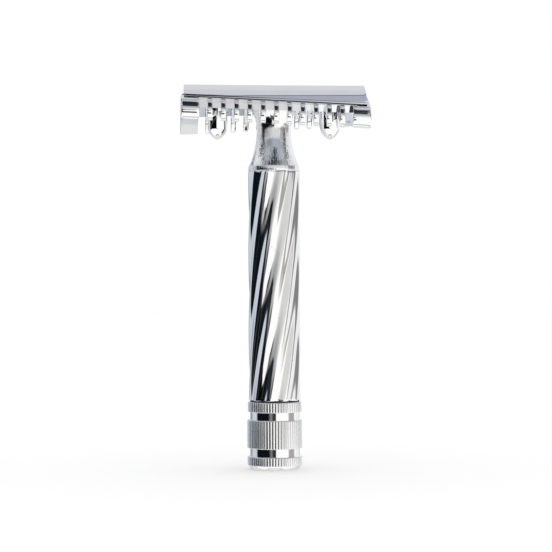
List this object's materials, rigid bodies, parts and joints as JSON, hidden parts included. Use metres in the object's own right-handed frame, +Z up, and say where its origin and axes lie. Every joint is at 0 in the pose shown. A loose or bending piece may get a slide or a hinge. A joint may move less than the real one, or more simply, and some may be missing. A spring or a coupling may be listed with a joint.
{
  "type": "safety razor",
  "caption": "Slant open-comb double-edge safety razor: arched cap, twisted toothed guard, waisted neck, spiral-fluted handle and a banded knurled knob that screws the cap down.",
  "frame": {"origin": "middle of the flat of the foot, which is the middle of the underside of the overall box", "axes": "+Z up the handle to the head, X along the blade, +Y towards the back; -Y is the side with the slant's right end low"},
  "size_m": [0.0434, 0.0254, 0.0896],
  "materials": {
    "chrome_plate": "mirror polished",
    "blade_steel": "ground and honed",
    "brass": "turned",
    "steel": "turned",
    "spring_steel": "oiled",
    "black_nylon": "matt"
  },
  "bodies": {
    "handle": {"guard_plate": "chrome_plate", "neck": "chrome_plate", "neck_bush": "brass", "handle_tube": "chrome_plate", "lower_bush": "brass", "spring_washer": "spring_steel", "thrust_washer": "black_nylon"},
    "knob": {"knob": "chrome_plate", "knob_screw": "steel", "lock_washer": "spring_steel", "foot_plug": "chrome_plate", "spindle_rod": "steel", "spindle_socket": "brass", "socket_pin": "steel", "retaining_clip": "spring_steel"},
    "cap": {"cap": "chrome_plate", "cap_stud": "chrome_plate", "locating_post_left": "chrome_plate", "locating_post_right": "chrome_plate"},
    "blade": {"blade": "blade_steel"}
  },
  "joints": [
    {"name": "knob_turn", "type": "hinge", "parent": "handle", "child": "knob", "pos_m": [0, 0, 0.0084], "axis": [0, 0, -1], "range_deg": [0, 5040]},
    {"name": "cap_lift", "type": "slide", "parent": "handle", "child": "cap", "axis": [0, 0, 1], "range_m": [0, 0.0112]},
    {"name": "blade_lift", "type": "slide", "parent": "handle", "child": "blade", "axis": [0, 0, 1], "range_m": [0, 0.0056]}
  ],
  "couplings": [
    {"joint": "cap_lift", "follows": "knob_turn", "m_per_rad": 0.00012732},
    {"joint": "blade_lift", "follows": "knob_turn", "m_per_rad": 0.00006366}
  ]
}
